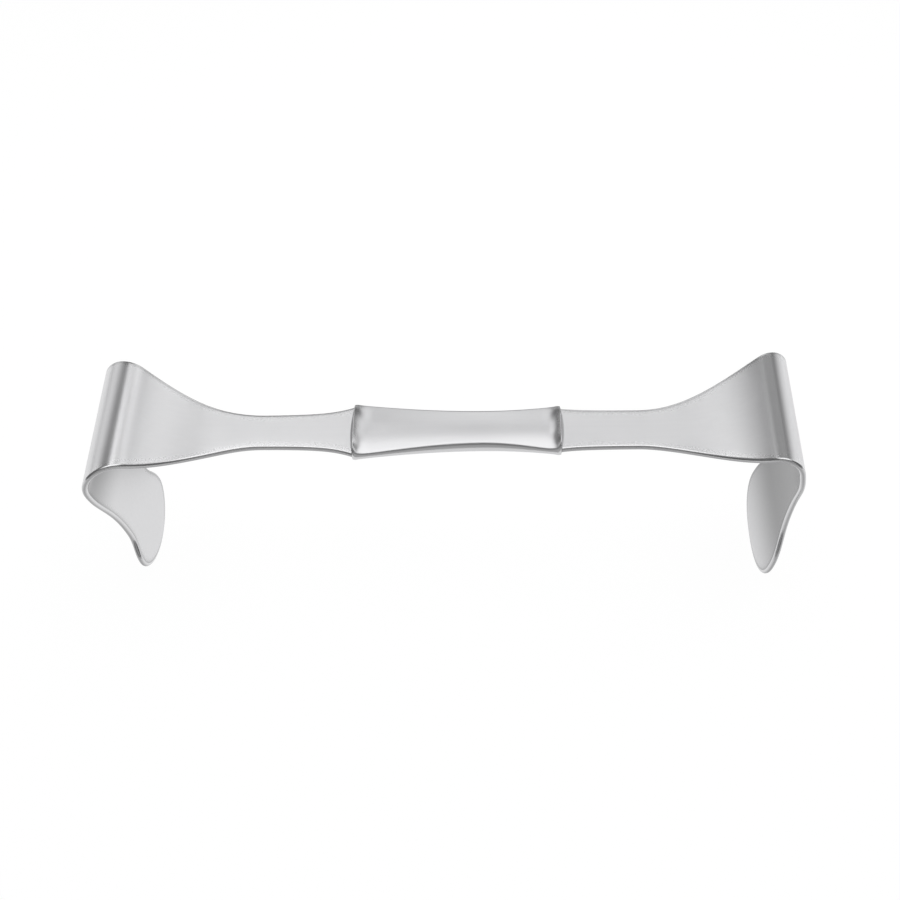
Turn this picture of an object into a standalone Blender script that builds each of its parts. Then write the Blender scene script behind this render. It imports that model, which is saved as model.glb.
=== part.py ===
"""Hand-held double-ended retractor: a waisted grip with a rolled steel blade at each end.

The frame has its origin under the middle of the whole length, on the surface that the blades
stand on. +X runs along the instrument towards the right blade, +Y across it and +Z up.
"""

import bmesh
import bpy
from math import cos, pi, radians, sin, sqrt
from mathutils import Vector
from mathutils.geometry import interpolate_bezier

# Driving dimensions, in metres and degrees

SHEET = 0.0014  # thickness of the arms and blades
EDGE_ROUND = 0.00062  # rounding along every edge of the sheet
SEAM = 0.0003  # filler seam between the grip and each arm, and round each tongue

CREST = 0.0250  # from the middle of the grip to the crest of each ridge
CREST_HALF_LEFT = 0.0090  # half width of the grip at its left crest
CREST_HALF_RIGHT = 0.0079
CREST_SIDE = 0.0007  # half height of the grip's rounded side at each crest
CREST_CROWN = 0.0028  # half thickness of the grip at each crest, on its centre line
WAIST_AT = 0.0064  # how far to the right of the grip's middle its waist is
WAIST_HALF = 0.0062  # half width, side and crown there
WAIST_SIDE = 0.0013
WAIST_CROWN = 0.0020
CURL = 0.0048  # length over which the grip's face curls up to each crest
CURL_POWER = 4.0  # how late in that length most of the curl comes
CREST_ROUND = 0.0005  # length over which the curl then rounds off to the crest
FOOT_STEP = 0.00015  # how much narrower the foot of a ridge is than its crest, on each side
FOOT_OUT = 0.0001  # how far out past the crest the ends of a ridge's foot are
FOOT_BOW = 0.0007  # how far the middle of a ridge's foot stands out past its ends

TONGUE = 0.0060  # length of the tongue by which each arm enters the grip, from the crest
TONGUE_HALF = 0.0040

# Each blade's side profile, along the sheet from the crest: a flat arm, an arc that rises, a
# tight roll downwards, and a blade that curls a little more. Its outline: half widths at the
# neck, shoulder, waist and lip, and where along the sheet the first three fall.

LEFT = dict(
    hand=-1, flat=0.0305, rise=0.0234, tilt=29.5, roll_radius=0.0064, roll=131.0,
    blade=0.0379, curl=8.5,
    neck=0.0056, neck_at=0.0221, shoulder=0.0198, shoulder_at=0.0663,
    waist=0.0121, waist_at=0.0921, lip=0.0148, lip_length=0.0065, corner=0.54,
)
RIGHT = dict(
    hand=1, flat=0.0218, rise=0.0286, tilt=28.8, roll_radius=0.0042, roll=110.6,
    blade=0.0440, curl=32.0,
    neck=0.00635, neck_at=0.0185, shoulder=0.0194, shoulder_at=0.0593,
    waist=0.0124, waist_at=0.0812, lip=0.0168, lip_length=0.0070, corner=0.66,
)
ROOT_HOLD = 0.16  # share of a stretch of outline that leaves its knot straight, by knot
NECK_HOLD = 0.36
SHOULDER_HOLD = 0.33
WAIST_HOLD = 0.43
ROOT_DROP = 0.62  # share of the way from the root's half width to the neck's in the first hold

ROW = 0.0024  # spacing of the lines that the flat blank is ruled with
ROLL_STEP = 5.5  # degrees of roll between two of those lines


def new_collection(name):
    collection = bpy.data.collections.new(name)
    bpy.context.scene.collection.children.link(collection)
    return collection


def steel(name, colour, roughness):
    material = bpy.data.materials.new(name)
    material.use_nodes = True
    shader = material.node_tree.nodes["Principled BSDF"]
    shader.inputs["Base Color"].default_value = (*colour, 1.0)
    shader.inputs["Metallic"].default_value = 1.0
    shader.inputs["Roughness"].default_value = roughness
    return material


def add_object(name, bm, collection, material):
    mesh = bpy.data.meshes.new(name)
    bm.to_mesh(mesh)
    bm.free()
    mesh.shade_smooth()
    mesh.set_sharp_from_angle(angle=radians(35))
    mesh.materials.append(material)
    obj = bpy.data.objects.new(name, mesh)
    collection.objects.link(obj)
    return obj


def as_cutter(name, collection):
    """Makes the primitive that was just added a cutter."""
    cutter = bpy.context.object
    cutter.name = name
    for home in list(cutter.users_collection):
        home.objects.unlink(cutter)
    collection.objects.link(cutter)
    cutter.hide_render = True
    cutter.display_type = "WIRE"
    return cutter


def cut(obj, cutter, name):
    modifier = obj.modifiers.new(name, "BOOLEAN")
    modifier.operation = "DIFFERENCE"
    modifier.solver = "EXACT"
    modifier.object = cutter


# Joint: the foot of each ridge is an arc, the arm's end follows it and its tongue goes in

def crest_half(hand):
    return CREST_HALF_LEFT if hand < 0 else CREST_HALF_RIGHT


def foot_half(hand):
    return crest_half(hand) - FOOT_STEP


def foot_radius(hand):
    return (foot_half(hand) ** 2 + FOOT_BOW**2) / (2 * FOOT_BOW)


def foot_centre(hand):
    """How far out the centre of the foot's arc lies. It is on the other side of the grip."""
    return CREST + FOOT_OUT + FOOT_BOW - foot_radius(hand)


def foot_out(hand, across):
    """How far out the foot of the ridge lies, this far across the grip."""
    return foot_centre(hand) + sqrt(foot_radius(hand) ** 2 - across**2)


def tongue_block(name, hand, clearance, inner, outer, collection):
    """A block round the tongue, from inner to outer along the instrument."""
    bpy.ops.mesh.primitive_cube_add(size=1, location=(hand * (inner + outer) / 2, 0, 0))
    block = as_cutter(name, collection)
    size = (outer - inner, 2 * (TONGUE_HALF + clearance), SHEET + 2 * clearance)
    for vert in block.data.vertices:
        vert.co = [vert.co[i] * size[i] for i in range(3)]
    return block


# Grip: a quarter shell lofted from one ridge through the waist to the other, and mirrored

def ease(t):
    return t * t * (3 - 2 * t)


def curled(share):
    """How much of its rise the face has made, 0 to 1, at this share of the curl's length."""
    turn = 1 - CREST_ROUND / CURL
    height, slope = turn**CURL_POWER, CURL_POWER * turn ** (CURL_POWER - 1)
    whole = height + slope * (1 - turn) / 2
    if share <= turn:
        return max(0.0, share) ** CURL_POWER / whole
    past = share - turn
    return (height + slope * (past - past**2 / (2 * (1 - turn)))) / whole


def grip_station(x):
    """Half width, half height of the side and half thickness at the crown, at this x."""
    hand = 1 if x > WAIST_AT else -1
    share = (x - WAIST_AT) / (hand * CREST - WAIST_AT)
    half = WAIST_HALF + (crest_half(hand) - WAIST_HALF) * (1 - cos(0.5 * pi * share))
    side = WAIST_SIDE + (CREST_SIDE - WAIST_SIDE) * ease(share)
    crown = WAIST_CROWN + (CREST_CROWN - WAIST_CROWN) * curled(1 - (CREST - abs(x)) / CURL)
    return half, side, crown


def quarter_section(half, side, crown, crown_points=7, side_points=6):
    """(across, up) from the crown on the centre line, over the face and round the side."""
    shelf = half - side
    points = []
    for i in range(crown_points):
        across = shelf * i / (crown_points - 1)
        points.append((across, side + (crown - side) * (1 - (across / half) ** 2)))
    brow = points[-1][1]
    drop = 2 * (crown - side) * shelf / half**2 * side
    for i in range(1, side_points + 1):
        angle = 0.5 * pi * i / side_points
        points.append((shelf + side * sin(angle), (brow - drop * sin(angle)) * cos(angle)))
    return points


def grip_rings():
    """The quarter sections from the left end wall to the right one."""
    face = [CREST * i / 14 for i in range(12)]
    face += [CREST - CURL * (1 - i / 8) for i in range(1, 8)]
    face += [CREST - CREST_ROUND / 2, CREST]
    rings = []
    for hand in (-1, 1):
        outwards = []
        for out in face if hand < 0 else face[1:]:
            section = quarter_section(*grip_station(hand * out))
            outwards.append([Vector((hand * out, y, z)) for y, z in section])
        crest = quarter_section(*grip_station(hand * CREST))
        foot = quarter_section(foot_half(hand), SHEET / 2, SHEET / 2)
        for angle in (0.2 * pi, 0.36 * pi, 0.5 * pi):
            ring = []
            for (y, z), (foot_y, foot_z) in zip(crest, foot):
                reach, drop = foot_out(hand, foot_y) - CREST, 1 - cos(angle)
                ring.append(Vector((hand * (CREST + reach * sin(angle)), y + (foot_y - y) * drop, z + (foot_z - z) * drop)))
            outwards.append(ring)
        outwards.append([Vector((hand * foot_out(hand, y), y, 0)) for y, z in foot])
        rings = outwards[::-1] if hand < 0 else rings + outwards
    return rings


def make_grip(collection, cutters, material):
    rings = grip_rings()
    columns, rows = len(rings), len(rings[0])
    bm = bmesh.new()
    bmesh.ops.create_grid(bm, x_segments=columns - 1, y_segments=rows - 1, size=0.5)
    for vert in bm.verts:
        column = round((vert.co.x + 0.5) * (columns - 1))
        row = round((0.5 - vert.co.y) * (rows - 1))
        vert.co = rings[column][row]
    bmesh.ops.remove_doubles(bm, verts=bm.verts, dist=1e-6)
    bmesh.ops.reverse_faces(bm, faces=bm.faces)
    grip = add_object("grip", bm, collection, material)
    mirror = grip.modifiers.new("other_quarters", "MIRROR")
    mirror.use_axis = (False, True, True)
    mirror.merge_threshold = 1e-6
    for hand, label in ((-1, "left"), (1, "right")):
        inner, outer = CREST - TONGUE - SEAM, CREST + 3 * FOOT_BOW
        slot = tongue_block(f"{label}_slot_cutter", hand, SEAM, inner, outer, cutters)
        cut(grip, slot, f"{label}_slot")
    return grip


# Blade: a flat blank with a drawn outline, ruled across, rolled to its side profile, thickened

def side_segments(side):
    """The side profile as lengths with their curvatures, the flat arm first."""
    roll_length = radians(side["roll"]) * side["roll_radius"]
    return [
        (side["flat"], 0.0),
        (side["rise"], radians(side["tilt"]) / side["rise"]),
        (roll_length, -1 / side["roll_radius"]),
        (side["blade"], -radians(side["curl"]) / side["blade"]),
    ]


def rolled(segments, distance):
    """Distance out and height of the sheet's middle, this far along the side profile."""
    out, height, angle = min(distance, 0.0), 0.0, 0.0
    for length, curvature in segments:
        if distance <= 0:
            break
        step = min(distance, length)
        if curvature:
            turned = angle + curvature * step
            out += (sin(turned) - sin(angle)) / curvature
            height -= (cos(turned) - cos(angle)) / curvature
            angle = turned
        else:
            out += step * cos(angle)
            height += step * sin(angle)
        distance -= step
    return out, height


def blank_edge(side, total, points=32):
    """The blank's edge, as points (along, half width), from the arm's end to the blade's end."""
    lip_at = total - side["lip_length"]
    root = (0.0, foot_half(side["hand"]))
    neck = (side["neck_at"], side["neck"])
    shoulder = (side["shoulder_at"], side["shoulder"])
    waist = (side["waist_at"], side["waist"])
    lip = (lip_at, side["lip"])
    corner = side["corner"]
    first = (ROOT_HOLD * neck[0], root[1] + ROOT_DROP * (neck[1] - root[1]))
    last = (2 * ROOT_HOLD * neck[0], neck[1])
    stretches = [(root, first, last, neck)]
    for start, stop, leave, arrive in (
        (neck, shoulder, NECK_HOLD, SHOULDER_HOLD),
        (shoulder, waist, SHOULDER_HOLD, WAIST_HOLD),
        (waist, lip, WAIST_HOLD, WAIST_HOLD),
    ):
        length = stop[0] - start[0]
        first, last = (start[0] + leave * length, start[1]), (stop[0] - arrive * length, stop[1])
        stretches.append((start, first, last, stop))
    first, last = (lip_at + corner * side["lip_length"], lip[1]), (total, corner * lip[1])
    stretches.append((lip, first, last, (total, 0.0)))
    edge = []
    for stretch in stretches:
        curve = interpolate_bezier(*(Vector((*knot, 0)) for knot in stretch), points)
        edge += curve[1:] if edge else curve
    return edge, lip_at


def ruled_rows(segments, roll, lip_at):
    """Distances along the blank at which it is ruled across, closest together in the roll."""
    rows, start = [], 0.0
    for number, (length, curvature) in enumerate(segments):
        step = length * ROLL_STEP / roll if number == 2 else ROW
        count = max(1, round(length / step))
        rows += [start + length * i / count for i in range(count)]
        start += length
    return [row for row in rows if row < lip_at - ROW / 2] + [lip_at, (lip_at + start) / 2]


def make_blade(name, side, collection, cutters, material):
    hand = side["hand"]
    segments = side_segments(side)
    total = sum(length for length, _ in segments)
    edge, lip_at = blank_edge(side, total)

    # Half of the flat blank as one face, the stock for the tongue included
    bm = bmesh.new()
    stock = [Vector((-TONGUE, 0, 0)), Vector((-TONGUE, edge[0].y, 0))]
    bm.faces.new([bm.verts.new(co) for co in stock + edge])

    # Ruled across, its outline kept only where those lines meet it and round the blade's end
    for row in ruled_rows(segments, side["roll"], lip_at):
        geometry = bm.verts[:] + bm.edges[:] + bm.faces[:]
        bmesh.ops.bisect_plane(bm, geom=geometry, dist=1e-7, plane_co=(row, 0, 0), plane_no=(1, 0, 0))
    spare = [v for v in bm.verts if len(v.link_edges) == 2 and 0 < v.co.x < lip_at]
    bmesh.ops.dissolve_verts(bm, verts=spare)

    # Rolled to the side profile
    for vert in bm.verts:
        out, height = rolled(segments, vert.co.x)
        vert.co = (hand * (CREST + out), vert.co.y, height)
    bmesh.ops.recalc_face_normals(bm, faces=bm.faces)
    if sum(face.normal.z for face in bm.faces) < 0:
        bmesh.ops.reverse_faces(bm, faces=bm.faces)
    blade = add_object(name, bm, collection, material)

    mirror = blade.modifiers.new("other_half", "MIRROR")
    mirror.use_axis = (False, True, False)
    mirror.merge_threshold = 1e-6
    sheet = blade.modifiers.new("sheet", "SOLIDIFY")
    sheet.thickness = SHEET
    sheet.offset = 0.0
    sheet.use_even_offset = True
    rounding = blade.modifiers.new("rounded_edges", "BEVEL")
    rounding.width = EDGE_ROUND
    rounding.segments = 3
    rounding.limit_method = "ANGLE"
    rounding.angle_limit = radians(50)

    # The arm's end is cut to the arc of the ridge's foot, and its tongue is left standing
    centre = (hand * foot_centre(hand), 0, 0)
    bpy.ops.mesh.primitive_cylinder_add(
        vertices=240, radius=foot_radius(hand) + SEAM, depth=8 * SHEET, location=centre
    )
    trimmer = as_cutter(name + "_end_cutter", cutters)
    keeper = tongue_block(name + "_tongue_keeper", hand, 0.0, 0.0, 2 * CREST, cutters)
    keeper.scale.z = 12
    cut(trimmer, keeper, "tongue_left_standing")
    cut(blade, trimmer, "end_trim")
    return blade


def stand_on_origin(objects):
    """Parents the pieces to an empty, moved so that the base's middle is the scene's origin."""
    bpy.context.view_layer.update()
    graph = bpy.context.evaluated_depsgraph_get()
    corners = []
    for obj in objects:
        evaluated = obj.evaluated_get(graph)
        corners += [vert.co.copy() for vert in evaluated.to_mesh().vertices]
        evaluated.to_mesh_clear()
    low = [min(corner[i] for corner in corners) for i in range(3)]
    high = [max(corner[i] for corner in corners) for i in range(3)]
    middle = bpy.data.objects.new("grip_middle", None)
    middle.empty_display_size = CREST
    bpy.context.scene.collection.objects.link(middle)
    for obj in list(bpy.data.objects):
        if obj is not middle:
            obj.parent = middle
    middle.location = (-(low[0] + high[0]) / 2, -(low[1] + high[1]) / 2, -low[2])


for obj in list(bpy.data.objects):
    bpy.data.objects.remove(obj, do_unlink=True)
retractor = new_collection("retractor")
helpers = new_collection("cutters")
helpers.hide_render = True
grip_steel = steel("grip_steel", (0.62, 0.62, 0.63), 0.30)
left_steel = steel("left_blade_steel", (0.66, 0.66, 0.67), 0.33)
right_steel = steel("right_blade_steel", (0.64, 0.64, 0.65), 0.33)
pieces = [
    make_grip(retractor, helpers, grip_steel),
    make_blade("left_blade", LEFT, retractor, helpers, left_steel),
    make_blade("right_blade", RIGHT, retractor, helpers, right_steel),
]
stand_on_origin(pieces)
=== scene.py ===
import bpy
import bmesh
import math
from mathutils import Matrix, Quaternion, Vector


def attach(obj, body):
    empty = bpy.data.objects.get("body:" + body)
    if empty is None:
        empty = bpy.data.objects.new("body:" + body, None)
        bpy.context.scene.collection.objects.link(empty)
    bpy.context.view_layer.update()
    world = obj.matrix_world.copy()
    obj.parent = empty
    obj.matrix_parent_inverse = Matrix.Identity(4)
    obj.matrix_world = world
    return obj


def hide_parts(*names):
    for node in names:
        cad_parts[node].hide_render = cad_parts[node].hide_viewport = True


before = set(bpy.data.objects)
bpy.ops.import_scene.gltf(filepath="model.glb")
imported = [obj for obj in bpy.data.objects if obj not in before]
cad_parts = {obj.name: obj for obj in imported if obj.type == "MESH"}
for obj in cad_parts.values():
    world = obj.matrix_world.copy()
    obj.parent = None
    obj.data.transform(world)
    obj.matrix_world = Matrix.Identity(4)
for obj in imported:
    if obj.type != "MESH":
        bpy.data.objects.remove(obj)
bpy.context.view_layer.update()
print("frame loaded:", ", ".join(sorted(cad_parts)))

mm = 0.001
weld = 2e-6  # metres: points that lie nearer to each other than this become one
sliver = 1e-7  # metres: edges shorter than this are taken out
gripMiddle = Vector((3.12 * mm, 0.0, 39.24 * mm))  # middle of the grip, half way through its thickness


# Node tree helpers: a formula is a socket that can be added, multiplied and so on

class Formula:
    def __init__(self, tree, socket):
        self.tree = tree
        self.socket = socket

    def __add__(self, other):
        return formula(self.tree, "ADD", self, other)

    def __radd__(self, other):
        return formula(self.tree, "ADD", other, self)

    def __sub__(self, other):
        return formula(self.tree, "SUBTRACT", self, other)

    def __rsub__(self, other):
        return formula(self.tree, "SUBTRACT", other, self)

    def __mul__(self, other):
        return formula(self.tree, "MULTIPLY", self, other)

    def __truediv__(self, other):
        return formula(self.tree, "DIVIDE", self, other)


def plug(tree, value, socket):
    if isinstance(value, Formula):
        tree.links.new(value.socket, socket)
    elif isinstance(value, bpy.types.NodeSocket):
        tree.links.new(value, socket)
    else:
        socket.default_value = value


def formula(tree, operation, *terms):
    node = tree.nodes.new("ShaderNodeMath")
    node.operation = operation
    for term, socket in zip(terms, node.inputs):
        plug(tree, term, socket)
    return Formula(tree, node.outputs[0])


def socketNamed(sockets, name):
    return next(s for s in sockets if s.name == name and s.enabled)


def node(tree, kind, inputs=None, **settings):
    made = tree.nodes.new(kind)
    for name, value in settings.items():
        setattr(made, name, value)
    for name, value in (inputs or {}).items():
        plug(tree, value, socketNamed(made.inputs, name))
    return made


def easeIn(tree, value, middle, reach):
    # 0 before middle - reach and 1 after middle + reach
    made = node(tree, "ShaderNodeMapRange", interpolation_type="SMOOTHSTEP")
    for name, term in (("Value", value), ("From Min", middle - reach), ("From Max", middle + reach)):
        plug(tree, term, socketNamed(made.inputs, name))
    return Formula(tree, made.outputs[0])


def vector(tree, x, y, z):
    made = tree.nodes.new("ShaderNodeCombineXYZ")
    for term, socket in zip((x, y, z), made.inputs):
        plug(tree, term, socket)
    return made.outputs[0]


def parts(tree, socket):
    made = tree.nodes.new("ShaderNodeSeparateXYZ")
    tree.links.new(socket, made.inputs[0])
    return [Formula(tree, out) for out in made.outputs]


# Satin steel

satinSteel = {
    # scales are per metre
    "grainScale": 2600.0, "grainDetail": 2.0,  # the bead-blasted grain
    "brushScale": 900.0, "brushDetail": 3.0,  # across the brushing
    "brushStretch": 0.03,  # along it the scale is this share of that
    "cloudScale": 90.0, "cloudDetail": 3.0,
    "cloudTint": 0.05, "brushTint": 0.035,  # how far clouds and brushing move the tone
    "bumpStrength": 0.05, "bumpDepth": 0.1 * mm, "grainShare": 0.6,  # the rest of the bump is brushing
    "roughness": 0.30, "roughVaries": 0.05,
    "edgeRoughness": 0.24,
    "paintedShadeDepth": 0.50,  # how much darker the painted shade makes the steel where it is marked
}


def noise(tree, place, scale, detail):
    made = node(tree, "ShaderNodeTexNoise", {"Vector": place, "Scale": scale, "Detail": detail})
    return Formula(tree, made.outputs[0])


def mark(tree, name):
    return Formula(tree, node(tree, "ShaderNodeAttribute", attribute_name=name).outputs["Fac"])


def makeSatinSteel(name, tone, hookShade=0.0):
    s = satinSteel
    material = bpy.data.materials.new(name)
    material.use_nodes = True
    tree = material.node_tree
    shader = tree.nodes["Principled BSDF"]
    shader.inputs["Metallic"].default_value = 1.0

    place = node(tree, "ShaderNodeTexCoord").outputs["Object"]
    brushed = node(tree, "ShaderNodeMapping", {"Vector": place})
    brushed.inputs["Scale"].default_value = (s["brushStretch"], 1.0, 1.0)
    brush = noise(tree, brushed.outputs[0], s["brushScale"], s["brushDetail"])
    grain = noise(tree, place, s["grainScale"], s["grainDetail"])
    cloud = noise(tree, place, s["cloudScale"], s["cloudDetail"])

    # colour: the tone, with faint clouds and brushing in it, and painted shade inside the hook, along the
    # edges and over the roll
    clouded = cloud * s["cloudTint"] + brush * s["brushTint"] - (s["cloudTint"] + s["brushTint"]) / 2
    kept = (1 - mark(tree, "hook") * hookShade) * (1 - mark(tree, "cut") * s["paintedShadeDepth"])
    colour = vector(tree, *[(clouded + channel) * kept for channel in tone])
    tree.links.new(colour, shader.inputs["Base Color"])

    # roughness: smoother towards the edges, where handling polishes them
    polish = mark(tree, "edge")
    varied = grain * s["roughVaries"] + cloud * s["roughVaries"] + (s["roughness"] - s["roughVaries"])
    rough = varied - polish * (s["roughness"] - s["edgeRoughness"])
    plug(tree, rough, shader.inputs["Roughness"])

    # bump: grain and brushing, which the polish takes off at the edges
    height = grain * s["grainShare"] + brush * (1 - s["grainShare"])
    strength = (1 - polish) * s["bumpStrength"]
    bump = node(tree, "ShaderNodeBump", {"Height": height, "Strength": strength, "Distance": s["bumpDepth"]})
    tree.links.new(bump.outputs[0], shader.inputs["Normal"])
    return material


# Grip: lofted sections between two raised ridges

gripShape = {
    # lengths in millimetres
    "crest": 25.0,  # where each ridge stands, from the grip's middle
    "halfLeft": 9.0, "halfRight": 7.9,  # half widths at the two crests
    "crestSide": 0.7, "crestCrown": 2.8,  # height of the rounded side and of the crown at a crest
    "waistAt": 6.4, "waistHalf": 6.2, "waistSide": 1.3, "waistCrown": 2.0,
    "curl": 5.2, "curlPower": 3.0,  # length of a ridge's inner slope and how late it rises
    "crestRound": 0.12,  # length over which the slope turns over at the crest
    "dip": 0.2,  # the face dips by this much before each ridge
    "footStep": 0.8, "footOut": 0.1, "footBow": 0.7,  # a ridge's foot is narrower, further out and bowed
    "cornerReach": 1.0, "cornerCut": 0.5,  # a ridge's corners are eased over this length and by this much
    "slopeRound": 0.2,  # outer slope of a ridge: 0 straight, 1 a quarter ellipse
    "crestFlat": 3.0,  # how much squarer the crown is at the crest
    "seam": 0.04,  # how far past the foot's arc the arm's outline starts; its end still goes into the foot
    "edgePolish": 0.8,  # reach of the polish each side of a crest
    "farLine": 0.3,  # width of the painted shade line along the far edge
    # painted shade: the grip's steel is given a darker tone than the blades'
    "tone": (0.67, 0.67, 0.68),
    "rowsAlong": 110, "slopeSteps": 24, "faceSteps": 36, "sideSteps": 16, "sharpAngle": 60,
}


# Blades: a flat blank inside a drawn outline, rolled to a side profile

sheet = {
    # what both blades have in common, lengths in millimetres
    "half": 0.7,  # half the thickness
    "rootInset": 0.1,  # the arm is taken to meet the foot's bow this far in from the foot's corner
    "rootHold": 0.16, "rootDrop": 0.62,  # the outline's handles from root to neck, along and across
    "neckHold": 0.36, "shoulderHold": 0.33, "waistHold": 0.43,  # and from there on, all as shares of the way
    "outlineSteps": 64,
    "bowFade": 9.0,  # the arm's bowed end is straight again this far out
    "edgePolish": 1.2,  # how far in from an edge the polish reaches
    "farLine": 0.35, "farLineShade": 0.9, "farFrom": 0.5, "farSoft": 0.1,  # painted shade: a dark line along the far edge
    "crease": 0.5, "bendSoft": 4.0,  # painted shade: a dark line inside the edge, from the roll on
    "rollShadeFrom": 0.1, "rollShadeFromSoft": 0.9,  # the band of painted shade over the roll, from its start
    "rollShadeTo": 3.4, "rollShadeToSoft": 1.6,
    "rimShadeFall": 4.0,  # how fast the painted shade on the rim lightens from its middle to its corners
    "profilePoints": 1600, "rows": 330, "columns": 60, "rimSteps": 16,
    "crowding": 0.7,  # 0 even columns, 1 columns that crowd fully towards the edges
    "sharpAngle": 38,
}
leftBlade = {
    "hand": -1, "arm": 30.5, "rise": 23.4, "tilt": 29.5, "rollRadius": 6.4, "roll": 131.0,
    "blade": 37.9, "curl": 8.5,
    "neck": 5.6, "neckAt": 22.1, "shoulder": 19.8, "shoulderAt": 66.3,
    "waist": 12.1, "waistAt": 92.1, "lip": 14.8, "lipLength": 6.5, "corner": 0.54,
    "softening": 1.6,
    "tone": (0.74, 0.74, 0.75),
    "hookShade": 0.45, "hookDeep": 7.0, "hookFade": 7.0,  # how deep the painted shade inside the hook is, and how far past the roll it reaches
    "rollShade": 0.0,  # how deep the painted shade in the band over the roll is
}
rightBlade = {
    "hand": 1, "arm": 21.8, "rise": 28.6, "tilt": 28.8, "rollRadius": 4.2, "roll": 110.6,
    "blade": 44.0, "curl": 32.0,
    "neck": 6.35, "neckAt": 18.5, "shoulder": 19.4, "shoulderAt": 59.3,
    "waist": 12.4, "waistAt": 81.2, "lip": 16.8, "lipLength": 7.0, "corner": 0.66,
    "softening": 1.2,
    "tone": (0.72, 0.72, 0.73),
    # painted shade inside the hook and a band of painted shade over the roll
    "hookShade": 0.585, "hookDeep": 36.0, "hookFade": 9.0,
    "rollShade": 1.15,
}


def crestHalf(hand):
    return gripShape["halfLeft"] if hand < 0 else gripShape["halfRight"]


def footHalf(hand):
    return crestHalf(hand) - gripShape["footStep"]


def footRadius(hand):
    return (footHalf(hand) ** 2 + gripShape["footBow"] ** 2) / (2 * gripShape["footBow"])


def footOut(hand, across):
    g = gripShape
    centre = g["crest"] + g["footOut"] + g["footBow"] - footRadius(hand)
    return centre + math.sqrt(footRadius(hand) ** 2 - across ** 2)


def bladeLength(b):
    return b["arm"] + b["rise"] + math.radians(b["roll"]) * b["rollRadius"] + b["blade"]


def drawOutline(name, b):
    # half of the blank's outline as a Bezier curve: x along the sheet, y the half width
    total = bladeLength(b)
    root = footHalf(b["hand"])
    lipAt = total - b["lipLength"]
    knots = [(0.0, root), (b["neckAt"], b["neck"]), (b["shoulderAt"], b["shoulder"]),
             (b["waistAt"], b["waist"]), (lipAt, b["lip"]), (total, 0.0)]
    after = [None] * len(knots)
    before = [None] * len(knots)
    holds = [sheet["neckHold"], sheet["shoulderHold"], sheet["waistHold"], sheet["waistHold"]]
    for i, (leave, arrive) in enumerate(zip(holds, holds[1:]), start=1):
        length = knots[i + 1][0] - knots[i][0]
        after[i] = (knots[i][0] + leave * length, knots[i][1])
        before[i + 1] = (knots[i + 1][0] - arrive * length, knots[i + 1][1])
    after[0] = (sheet["rootHold"] * b["neckAt"], root + sheet["rootDrop"] * (b["neck"] - root))
    before[1] = (2 * sheet["rootHold"] * b["neckAt"], b["neck"])
    after[4] = (lipAt + b["corner"] * b["lipLength"], b["lip"])
    before[5] = (total, b["corner"] * b["lip"])
    before[0], after[5] = knots[0], knots[5]
    curve = bpy.data.curves.new(name, "CURVE")
    curve.dimensions = "3D"
    curve.resolution_u = sheet["outlineSteps"]
    spline = curve.splines.new("BEZIER")
    spline.bezier_points.add(len(knots) - 1)
    for point, knot, left, right in zip(spline.bezier_points, knots, before, after):
        point.handle_left_type = point.handle_right_type = "FREE"
        point.co = Vector((*knot, 0)) * mm
        point.handle_left = Vector((*left, 0)) * mm
        point.handle_right = Vector((*right, 0)) * mm
    drawn = bpy.data.objects.new(name, curve)
    bpy.context.scene.collection.objects.link(drawn)
    return drawn


bladeInputs = [
    ("outline", "Object"), ("starts at", "Float"), ("root half", "Float"), ("foot radius", "Float"),
    ("bow fades by", "Float"), ("arm", "Float"), ("rise", "Float"), ("tilt", "Float"),
    ("roll radius", "Float"), ("roll", "Float"), ("blade", "Float"), ("curl", "Float"),
    ("softening", "Float"), ("half thickness", "Float"), ("hand", "Float"), ("crest", "Float"),
    ("hook deep", "Float"), ("hook fade", "Float"), ("roll shade", "Float"),
    ("rows", "Int"), ("columns", "Int"), ("rim steps", "Int"), ("steel", "Material"),
]


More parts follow.
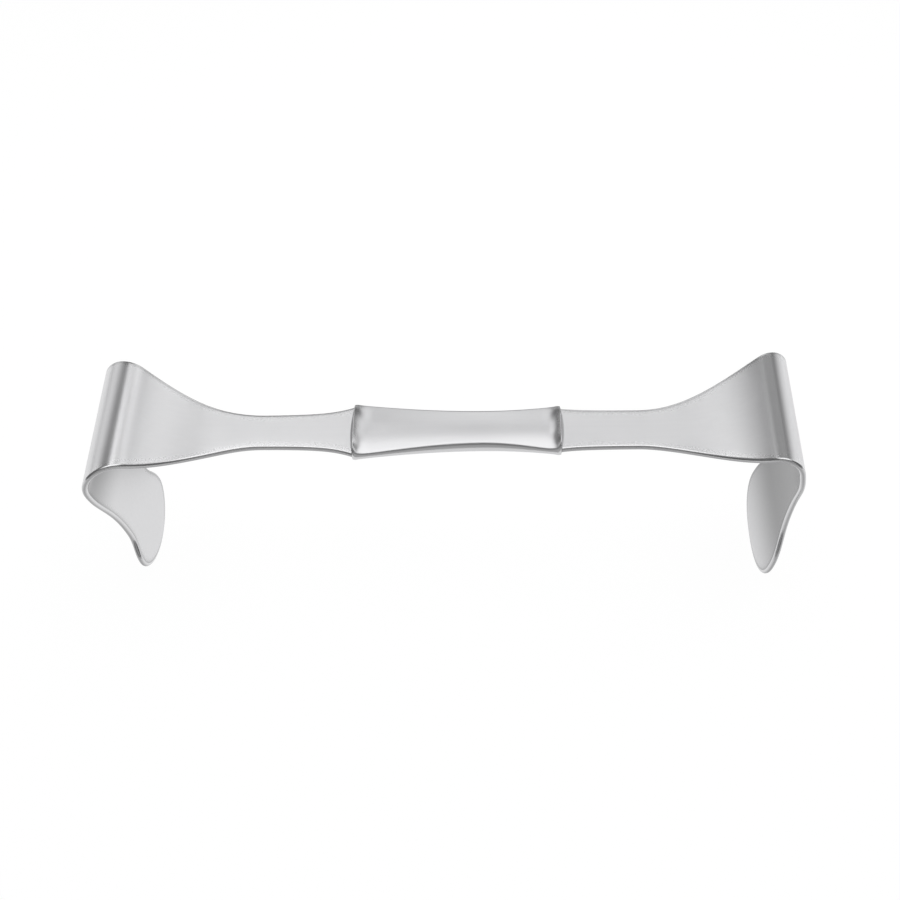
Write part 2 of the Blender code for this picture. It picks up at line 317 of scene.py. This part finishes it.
def rolledBladeTree():
    tree = bpy.data.node_groups.new("rolledBlade", "GeometryNodeTree")
    tree.interface.new_socket("Geometry", in_out="OUTPUT", socket_type="NodeSocketGeometry")
    for name, kind in bladeInputs:
        tree.interface.new_socket(name, in_out="INPUT", socket_type="NodeSocket" + kind)
    given = tree.nodes.new("NodeGroupInput")
    size = {name: Formula(tree, given.outputs[name]) for name, _ in bladeInputs}
    arm, rise, tilt, radius = size["arm"], size["rise"], size["tilt"], size["roll radius"]
    half = size["half thickness"]

    # side profile: curvature along the sheet, summed to a heading and then to places
    riseEnd = arm + rise
    rollEnd = riseEnd + size["roll"] * radius
    total = rollEnd + size["blade"]
    step = total / (sheet["profilePoints"] - 1)
    line = node(tree, "GeometryNodeMeshLine", {"Count": sheet["profilePoints"]})
    along = Formula(tree, node(tree, "GeometryNodeInputIndex").outputs[0]) * step
    rising = easeIn(tree, along, arm, size["softening"])
    rolling = easeIn(tree, along, riseEnd, size["softening"])
    hanging = easeIn(tree, along, rollEnd, size["softening"])
    bend = tilt / rise * (rising - rolling) - (rolling - hanging) / radius
    bend -= size["curl"] / size["blade"] * hanging
    turned = node(tree, "GeometryNodeAccumulateField", data_type="FLOAT")
    plug(tree, bend * step, socketNamed(turned.inputs, "Value"))
    heading = Formula(tree, socketNamed(turned.outputs, "Trailing")) + bend * step * 0.5
    places = node(tree, "GeometryNodeAccumulateField", data_type="FLOAT_VECTOR")
    stride = vector(tree, formula(tree, "COSINE", heading) * step, 0.0, formula(tree, "SINE", heading) * step)
    plug(tree, stride, socketNamed(places.inputs, "Value"))
    place = socketNamed(places.outputs, "Trailing")
    drawn = node(tree, "GeometryNodeSetPosition", {"Geometry": line.outputs[0], "Position": place})
    profile = node(tree, "GeometryNodeMeshToCurve", {"Mesh": drawn.outputs[0]}).outputs[0]

    # outline of the blank, sampled from the arm's end to the blade's end
    outline = node(tree, "GeometryNodeObjectInfo", {"Object": size["outline"]}).outputs["Geometry"]
    outlineLength = Formula(tree, node(tree, "GeometryNodeCurveLength", {"Curve": outline}).outputs[0])
    spot = parts(tree, node(tree, "GeometryNodeInputPosition").outputs[0])
    row = (spot[0] + 0.5) * (size["rows"] - 1)
    across = spot[1] + 0.5
    rowShare = formula(tree, "MAXIMUM", (row - 1) / (size["rows"] - 2), 0.0)
    reach = size["starts at"] + rowShare * (outlineLength - size["starts at"])
    sampled = node(tree, "GeometryNodeSampleCurve", {"Curves": outline, "Length": reach}, mode="LENGTH")
    edgeAt = parts(tree, sampled.outputs["Position"])
    going = parts(tree, sampled.outputs["Tangent"])
    wallOpen = formula(tree, "MINIMUM", row, 1.0)  # 0 on the first row, which closes the arm's end
    insetAlong = edgeAt[0] + going[1] * half
    insetHalf = edgeAt[1] - going[0] * half
    rootFree = 1 - easeIn(tree, edgeAt[0], size["bow fades by"] * 0.5, size["bow fades by"] * 0.5)

    def bowed(alongIt, sideways):
        # the arm's end follows the arc of the ridge's foot
        square = size["foot radius"] * size["foot radius"]
        root = formula(tree, "SQRT", square - size["root half"] * size["root half"])
        return alongIt + (formula(tree, "SQRT", square - sideways * sideways) - root) * rootFree

    def gridOf(stepsAcross, alongIt, sideways, up, **marks):
        counts = {"Vertices X": size["rows"], "Vertices Y": stepsAcross}
        made = node(tree, "GeometryNodeMeshGrid", {"Size X": 1.0, "Size Y": 1.0, **counts}).outputs[0]
        for name in ("edge", "hook", "cut"):
            marked = {"Geometry": made, "Name": name, "Value": marks.get(name, 0.0)}
            stored = node(tree, "GeometryNodeStoreNamedAttribute", marked, data_type="FLOAT", domain="POINT")
            made = stored.outputs[0]
        blank = vector(tree, bowed(alongIt, sideways), sideways, up * wallOpen)
        return node(tree, "GeometryNodeSetPosition", {"Geometry": made, "Position": blank}).outputs[0]

    # faces of the blank: share runs from -1 at the near edge to 1 at the far one
    even = across * 2 - 1
    crowded = formula(tree, "SINE", even * (math.pi / 2))
    share = even * (1 - sheet["crowding"]) + crowded * sheet["crowding"]
    inward = (1 - formula(tree, "ABSOLUTE", share)) * insetHalf

    def besideEdge(reach):
        return formula(tree, "EXPONENT", inward * (-1 / (reach * mm)))

    polish = besideEdge(sheet["edgePolish"])
    # painted shade, stored as a mark: a dark line along the far edge and a band over the roll
    farSide = easeIn(tree, share, sheet["farFrom"], sheet["farSoft"])
    farLine = besideEdge(sheet["farLine"]) * farSide * sheet["farLineShade"]
    shadeStarts = easeIn(tree, insetAlong, riseEnd + sheet["rollShadeFrom"] * mm, sheet["rollShadeFromSoft"] * mm)
    shadeEnds = easeIn(tree, insetAlong, riseEnd + sheet["rollShadeTo"] * mm, sheet["rollShadeToSoft"] * mm)
    overRoll = shadeStarts * (1 - shadeEnds) * size["roll shade"]
    topShade = formula(tree, "MAXIMUM", farLine, overRoll)
    top = gridOf(size["columns"], insetAlong, share * insetHalf, half, edge=polish, cut=topShade)

    # painted shade: darker inside the hook past the roll, and a dark line inside the edges from the roll on
    bent = easeIn(tree, insetAlong, riseEnd, sheet["bendSoft"] * mm)
    hookShadeMask = bent * (1 - easeIn(tree, insetAlong, rollEnd + size["hook deep"], size["hook fade"]))
    crease = besideEdge(sheet["crease"]) * bent
    sides = {"edge": polish, "hook": hookShadeMask, "cut": crease}
    under = gridOf(size["columns"], insetAlong, share * insetHalf, half * -1, **sides)

    # a rim of half-round section along each edge
    turn = (across - 0.5) * math.pi
    facing = formula(tree, "COSINE", turn)
    stand = facing * half
    rimUp = formula(tree, "SINE", turn) * half
    rimAlong, rimHalf = insetAlong - going[1] * stand, insetHalf + going[0] * stand
    # painted shade along the middle of each rim
    rimShade = formula(tree, "POWER", facing, sheet["rimShadeFall"])
    rim = gridOf(size["rim steps"], rimAlong, rimHalf, rimUp, edge=1.0, cut=rimShade)
    farRim = node(tree, "GeometryNodeTransform", {"Geometry": rim, "Scale": (1.0, -1.0, 1.0)}).outputs[0]
    joined = node(tree, "GeometryNodeJoinGeometry")
    for piece in (top, under, rim, farRim):
        tree.links.new(piece, joined.inputs[0])
    closed = node(tree, "GeometryNodeMergeByDistance", {"Geometry": joined.outputs[0], "Distance": weld})

    # rolled: each point keeps its distance from the sheet's middle
    flat = parts(tree, node(tree, "GeometryNodeInputPosition").outputs[0])
    lengthOn = formula(tree, "MAXIMUM", flat[0], 0.0)
    onProfile = node(tree, "GeometryNodeSampleCurve", {"Curves": profile, "Length": lengthOn}, mode="LENGTH")
    middle = parts(tree, onProfile.outputs["Position"])
    tangent = parts(tree, onProfile.outputs["Tangent"])
    out = size["crest"] + middle[0] - tangent[2] * flat[2]
    lift = middle[2] + tangent[0] * flat[2]
    rolledPlace = vector(tree, size["hand"] * out, flat[1], lift)
    rolled = node(tree, "GeometryNodeSetPosition", {"Geometry": closed.outputs[0], "Position": rolledPlace})
    seat = {"Geometry": rolled.outputs[0], "Translation": tuple(gripMiddle)}
    seated = node(tree, "GeometryNodeTransform", seat)
    realised = node(tree, "GeometryNodeRealizeInstances", {"Geometry": seated.outputs[0]}).outputs[0]
    finished = node(tree, "GeometryNodeSetMaterial", {"Geometry": realised, "Material": size["steel"]})
    result = tree.nodes.new("NodeGroupOutput")
    tree.links.new(finished.outputs[0], result.inputs[0])
    return tree


def tidyMesh(made, sharpAngle):
    bm = bmesh.new()
    bm.from_mesh(made)
    bmesh.ops.remove_doubles(bm, verts=bm.verts, dist=weld)
    bmesh.ops.dissolve_degenerate(bm, edges=bm.edges, dist=sliver)
    bmesh.ops.recalc_face_normals(bm, faces=bm.faces)
    bm.to_mesh(made)
    bm.free()
    made.shade_smooth()
    made.set_sharp_from_angle(angle=math.radians(sharpAngle))


def rollBlade(name, b, tree, steelName, standsFor):
    outline = drawOutline(name + "Outline", b)
    seat = bpy.data.objects.new(name + "Rolled", bpy.data.meshes.new(name + "Rolled"))
    bpy.context.scene.collection.objects.link(seat)
    modifier = seat.modifiers.new("roll", "NODES")
    modifier.node_group = tree
    hand = b["hand"]
    rootHalf = footHalf(hand) - sheet["rootInset"]
    startOut = footOut(hand, rootHalf) + gripShape["seam"] - gripShape["crest"]
    given = {
        "outline": outline, "starts at": startOut * mm, "root half": rootHalf * mm,
        "foot radius": (footRadius(hand) + gripShape["seam"]) * mm, "bow fades by": sheet["bowFade"] * mm,
        "arm": b["arm"] * mm, "rise": b["rise"] * mm, "tilt": math.radians(b["tilt"]),
        "roll radius": b["rollRadius"] * mm, "roll": math.radians(b["roll"]),
        "blade": b["blade"] * mm, "curl": math.radians(b["curl"]), "softening": b["softening"] * mm,
        "half thickness": sheet["half"] * mm, "hand": float(hand), "crest": gripShape["crest"] * mm,
        "hook deep": b["hookDeep"] * mm, "hook fade": b["hookFade"] * mm, "roll shade": b["rollShade"],
        "rows": sheet["rows"], "columns": sheet["columns"], "rim steps": sheet["rimSteps"],
        "steel": makeSatinSteel(steelName, b["tone"], b["hookShade"]),
    }
    for item in tree.interface.items_tree:
        if item.in_out == "INPUT":
            modifier[item.identifier] = given[item.name]
    bpy.context.view_layer.update()
    graph = bpy.context.evaluated_depsgraph_get()
    rolled = seat.evaluated_get(graph)
    made = bpy.data.meshes.new_from_object(rolled, preserve_all_data_layers=True, depsgraph=graph)
    made.name = name
    bpy.data.objects.remove(seat)
    bpy.data.objects.remove(outline)
    tidyMesh(made, sheet["sharpAngle"])
    piece = bpy.data.objects.new(name, made)
    bpy.context.scene.collection.objects.link(piece)
    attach(piece, "root")
    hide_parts(standsFor)
    print(name, "rolled:", len(made.polygons), "faces")


bladeTree = rolledBladeTree()
rollBlade("leftBlade", leftBlade, bladeTree, "satinSteelLeft", "left_blade")
rollBlade("rightBlade", rightBlade, bladeTree, "satinSteelRight", "right_blade")


# The grip's rings run from one foot, over both ridges, to the other foot

def eased(t):
    return t * t * (3 - 2 * t)


def curled(share):
    g = gripShape
    turn = 1 - g["crestRound"] / g["curl"]
    height, slope = turn ** g["curlPower"], g["curlPower"] * turn ** (g["curlPower"] - 1)
    whole = height + slope * (1 - turn) / 2
    if share <= turn:
        return max(0.0, share) ** g["curlPower"] / whole
    past = share - turn
    return (height + slope * (past - past ** 2 / (2 * (1 - turn)))) / whole


def gripStation(x):
    g = gripShape
    hand = 1 if x > g["waistAt"] else -1
    share = (x - g["waistAt"]) / (hand * g["crest"] - g["waistAt"])
    half = g["waistHalf"] + (crestHalf(hand) - g["waistHalf"]) * (1 - math.cos(0.5 * math.pi * share))
    half -= g["cornerCut"] * max(0.0, 1 - (g["crest"] - abs(x)) / g["cornerReach"]) ** 2
    side = g["waistSide"] + (g["crestSide"] - g["waistSide"]) * eased(share)
    raised = curled(1 - (g["crest"] - abs(x)) / g["curl"])
    low = g["waistCrown"] - g["dip"] * eased(share)  # the face dips a little before each ridge
    crown = low + (g["crestCrown"] - low) * raised
    return half, side, crown, 2 + g["crestFlat"] * raised


def gripSection(half, side, crown, power=2.0):
    # quarter section from the crown, over the face and round the side
    g = gripShape
    shelf = half - side
    points = []
    for i in range(g["faceSteps"]):
        across = shelf * i / (g["faceSteps"] - 1)
        points.append((across, side + (crown - side) * (1 - (across / half) ** power)))
    brow = points[-1][1]
    steep = power * (crown - side) * (shelf / half) ** (power - 1) / half
    drop = steep * side  # so that the side carries on the face's slope
    for i in range(1, g["sideSteps"] + 1):
        angle = 0.5 * math.pi * i / g["sideSteps"]
        points.append((shelf + side * math.sin(angle), (brow - drop * math.sin(angle)) * math.cos(angle)))
    return points


def slopeOut(hand, share):
    # how far out a point lies, this share of the way from the crest to the foot
    crest = gripShape["crest"]
    return lambda across: crest + (footOut(hand, min(across, footHalf(hand))) - crest) * share


def wholeRing(quarter, outAt, hand):
    # outAt(across) is how far out each point lies
    right = [(y, z) for y, z in quarter] + [(y, -z) for y, z in quarter[-2::-1]]
    ring = right + [(-y, z) for y, z in right[-2:0:-1]]
    return [Vector((hand * outAt(abs(y)), y, z)) for y, z in ring]


def gripRings():
    # each ring comes with its section's place along the grip
    g = gripShape
    rings = []
    for hand in (-1, 1):
        outward = []
        for i in range(g["rowsAlong"] + 1):
            # rows crowd towards the crest
            out = g["crest"] * math.sin(0.5 * math.pi * (i / g["rowsAlong"]))
            section = gripSection(*gripStation(hand * out))
            outward.append((wholeRing(section, lambda across: out, hand), out))
        crest = gripSection(*gripStation(hand * g["crest"]))
        foot = gripSection(footHalf(hand), sheet["half"], sheet["half"])
        for i in range(1, g["slopeSteps"] + 1):
            share = i / g["slopeSteps"]
            angle = 0.5 * math.pi * share
            drop = share + (1 - math.cos(angle) - share) * g["slopeRound"]
            reach = share + (math.sin(angle) - share) * g["slopeRound"]
            between = [(a[0] + (b[0] - a[0]) * drop, a[1] + (b[1] - a[1]) * drop)
                       for a, b in zip(crest, foot)]
            outward.append((wholeRing(between, slopeOut(hand, reach), hand), g["crest"]))
        closing = [(y, 0.0) for y, z in foot]
        outward.append((wholeRing(closing, slopeOut(hand, 1.0), hand), g["crest"]))
        rings = outward[::-1] if hand < 0 else rings + outward[1:]
    return rings


def makeGrip():
    g = gripShape
    bm = bmesh.new()
    edgeLayer = bm.verts.layers.float.new("edge")
    shadeLayer = bm.verts.layers.float.new("cut")
    rows = []
    for ring, out in gripRings():
        row = []
        farthest = max(place.y for place in ring)
        for place in ring:
            vert = bm.verts.new(place * mm + gripMiddle)
            vert[edgeLayer] = math.exp((out - g["crest"]) / g["edgePolish"])
            # painted shade: a dark line along the far edge
            vert[shadeLayer] = math.exp((place.y - farthest) / g["farLine"])
            row.append(vert)
        rows.append(row)
    count = len(rows[0])
    for a, b in zip(rows, rows[1:]):
        for i in range(count):
            j = (i + 1) % count
            bm.faces.new((a[i], a[j], b[j], b[i]))
    made = bpy.data.meshes.new("grip")
    bm.to_mesh(made)
    bm.free()
    tidyMesh(made, g["sharpAngle"])
    made.materials.append(makeSatinSteel("satinSteelGrip", g["tone"]))
    piece = bpy.data.objects.new("gripBar", made)
    bpy.context.scene.collection.objects.link(piece)
    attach(piece, "root")
    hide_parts("grip")
    print("grip lofted:", len(made.polygons), "faces")


makeGrip()


# Camera, fitted to the outlines of the photographed instrument

cameraFit = {
    "aimedAt": (3.59, 0.0, 39.24),  # mm
    "elevation": 46.05, "yaw": -2.08, "roll": -1.96, "distance": 423.8 * mm,
    "focal": 1751.0, "lookedAt": (458.5, 430.7), "imageSize": 900,  # pixels
    "sensor": 36.0, "clip": (0.01, 20.0),
}


def placeCamera():
    c = cameraFit
    e, yaw, roll = (math.radians(c[key]) for key in ("elevation", "yaw", "roll"))
    aboutZ = Matrix(((math.cos(yaw), -math.sin(yaw), 0), (math.sin(yaw), math.cos(yaw), 0), (0, 0, 1)))
    level = Matrix(((1, 0, 0), (0, -math.sin(e), -math.cos(e)), (0, math.cos(e), -math.sin(e))))
    aboutView = Matrix(((math.cos(roll), -math.sin(roll), 0), (math.sin(roll), math.cos(roll), 0), (0, 0, 1)))
    turned = aboutView @ level @ aboutZ
    centre = c["imageSize"] / 2
    sideways, down = ((pixel + 0.5 - centre) / c["focal"] for pixel in c["lookedAt"])
    ahead = Vector((sideways, down, 1.0)) * c["distance"]
    data = bpy.data.cameras.new("camera")
    data.sensor_width = c["sensor"]
    data.lens = c["focal"] * data.sensor_width / c["imageSize"]
    data.clip_start, data.clip_end = c["clip"]
    camera = bpy.data.objects.new("camera", data)
    bpy.context.scene.collection.objects.link(camera)
    axes = Matrix((turned[0], -turned[1], -turned[2])).transposed().to_4x4()
    stands = Vector(c["aimedAt"]) * mm - turned.transposed() @ ahead
    camera.matrix_world = Matrix.Translation(stands) @ axes
    bpy.context.scene.camera = camera


placeCamera()


# Floor and soft studio light

studio = {
    # lengths in metres
    "floorHalf": 3.0, "floorDrop": 0.2 * mm, "floorTone": 0.85,
    "floorShadow": 0.08,  # share of the floor's look that takes the object's shadow
    "floorWhite": 1.05,
    "floorMirrored": 1.0,  # how bright the steel shows the floor,
    "dimFrom": 0.038, "dimOver": 0.012, "dimTo": 0.30,  # which falls off behind the instrument
    "dimHalf": 0.085, "dimFade": 0.012,  # but not further out than its ends,
    "shadeAt": (0.072, 0.030), "shadeReach": 0.04, "shadeDepth": 0.12,  # and is shaded under the right hook
    "worldLevel": 0.14,
    "diffuser": 0.25,  # share of a softbox's width over which it fades at each edge
    # name: (middle, faces, width, height, turn, level)
    "softboxes": {
        "backHigh": ((0.12, 0.30, 0.52), (0.12, 0.0, 0.52), 0.50, 0.313, 0.2, 0.40),
        "backLeftHigh": ((-0.115, 0.30, 0.41), (-0.115, 0.0, 0.41), 0.15, 0.28, 0.142, 1.55),
        "backRightHigh": ((0.125, 0.30, 0.40), (0.125, 0.0, 0.40), 0.18, 0.36, 0.15, 1.12),
        "backMiddle": ((0.01, 0.30, 0.25), (0.01, 0.0, 0.25), 0.18, 0.44, 0.0, 0.95),
        "backLeft": ((-0.524, 0.30, 0.17), (-0.524, 0.0, 0.17), 0.78, 0.265, 0.02, 0.80),
        "backRight": ((0.58, 0.30, 0.36), (0.58, 0.0, 0.36), 0.84, 0.80, 0.1, 0.95),
        "overhead": ((0.0, 0.10, 0.62), (0.0, 0.10, 0.0), 0.85, 0.62, 0.0, 1.30),
        "front": ((0.0, -0.50, 0.31), (0.0, 0.0, 0.31), 1.2, 0.62, 0.0, 0.35),
    },
}


def makeSoftbox(name, middle, aim, width, height, turn, level):
    data = bpy.data.lights.new(name, "AREA")
    data.shape = "RECTANGLE"
    data.size, data.size_y = width, height
    data.energy = level * math.pi * width * height
    lamp = bpy.data.objects.new(name, data)
    lamp.location = middle
    lamp.rotation_mode = "QUATERNION"
    facing = (Vector(aim) - Vector(middle)).to_track_quat("-Z", "Y")
    lamp.rotation_quaternion = facing @ Quaternion((0.0, 0.0, 1.0), -turn)
    lamp.visible_camera = False
    bpy.context.scene.collection.objects.link(lamp)

    # a diffuser: full in the middle and fading to the edges
    data.use_nodes = True
    tree = data.node_tree
    emission = next(n for n in tree.nodes if n.type == "EMISSION")
    spot = parts(tree, node(tree, "ShaderNodeNewGeometry").outputs["Parametric"])
    fade = 1.0
    for share in spot[:2]:
        fromEdge = 0.5 - formula(tree, "ABSOLUTE", share - 0.5)
        fade = easeIn(tree, fromEdge, studio["diffuser"] / 2, studio["diffuser"] / 2) * fade
    plug(tree, fade, emission.inputs["Strength"])


def makeFloor():
    reach = studio["floorHalf"]
    corners = [(-reach, -reach, 0), (reach, -reach, 0), (reach, reach, 0), (-reach, reach, 0)]
    made = bpy.data.meshes.new("floor")
    made.from_pydata(corners, [], [(0, 1, 2, 3)])
    floor = bpy.data.objects.new("floor", made)
    bpy.context.scene.collection.objects.link(floor)
    floor.location.z = -studio["floorDrop"]
    material = bpy.data.materials.new("paleFloor")
    material.use_nodes = True
    tree = material.node_tree
    tree.nodes.clear()
    path = node(tree, "ShaderNodeLightPath")
    byCamera = Formula(tree, path.outputs["Is Camera Ray"])
    bySteel = formula(tree, "MAXIMUM", path.outputs["Is Glossy Ray"], path.outputs["Is Transmission Ray"])
    place = parts(tree, node(tree, "ShaderNodeTexCoord").outputs["Object"])
    shadeX, shadeY = place[0] - studio["shadeAt"][0], place[1] - studio["shadeAt"][1]
    away = formula(tree, "SQRT", shadeX * shadeX + shadeY * shadeY)
    shadeHalf = studio["shadeReach"] / 2
    shade = (1 - easeIn(tree, away, shadeHalf, shadeHalf)) * studio["shadeDepth"]
    between = 1 - easeIn(tree, formula(tree, "ABSOLUTE", place[0]), studio["dimHalf"], studio["dimFade"])
    dim = easeIn(tree, place[1], studio["dimFrom"], studio["dimOver"]) * between * (1 - studio["dimTo"])
    mirrored = (1 - shade) * (1 - dim) * studio["floorMirrored"]
    glow = byCamera * studio["floorWhite"] + bySteel * mirrored
    matt = node(tree, "ShaderNodeBsdfDiffuse", {"Color": (*[studio["floorTone"]] * 3, 1.0)})
    white = node(tree, "ShaderNodeEmission", {"Color": (1.0, 1.0, 1.0, 1.0), "Strength": glow})
    mixed = tree.nodes.new("ShaderNodeMixShader")
    plug(tree, formula(tree, "MAXIMUM", byCamera, bySteel) * (1 - studio["floorShadow"]), mixed.inputs[0])
    tree.links.new(matt.outputs[0], mixed.inputs[1])
    tree.links.new(white.outputs[0], mixed.inputs[2])
    out = tree.nodes.new("ShaderNodeOutputMaterial")
    tree.links.new(mixed.outputs[0], out.inputs["Surface"])
    made.materials.append(material)


def makeWorld():
    world = bpy.data.worlds.new("studioAir")
    bpy.context.scene.world = world
    world.use_nodes = True
    tree = world.node_tree
    tree.nodes.clear()
    path = node(tree, "ShaderNodeLightPath")
    level = Formula(tree, path.outputs["Is Camera Ray"]) * (1 - studio["worldLevel"]) + studio["worldLevel"]
    sky = node(tree, "ShaderNodeBackground", {"Color": (1.0, 1.0, 1.0, 1.0), "Strength": level})
    out = tree.nodes.new("ShaderNodeOutputWorld")
    tree.links.new(sky.outputs[0], out.inputs["Surface"])


makeFloor()
makeWorld()
for boxName, setting in studio["softboxes"].items():
    makeSoftbox(boxName, *setting)
bpy.context.scene.view_settings.view_transform = "Standard"
print("studio lit")
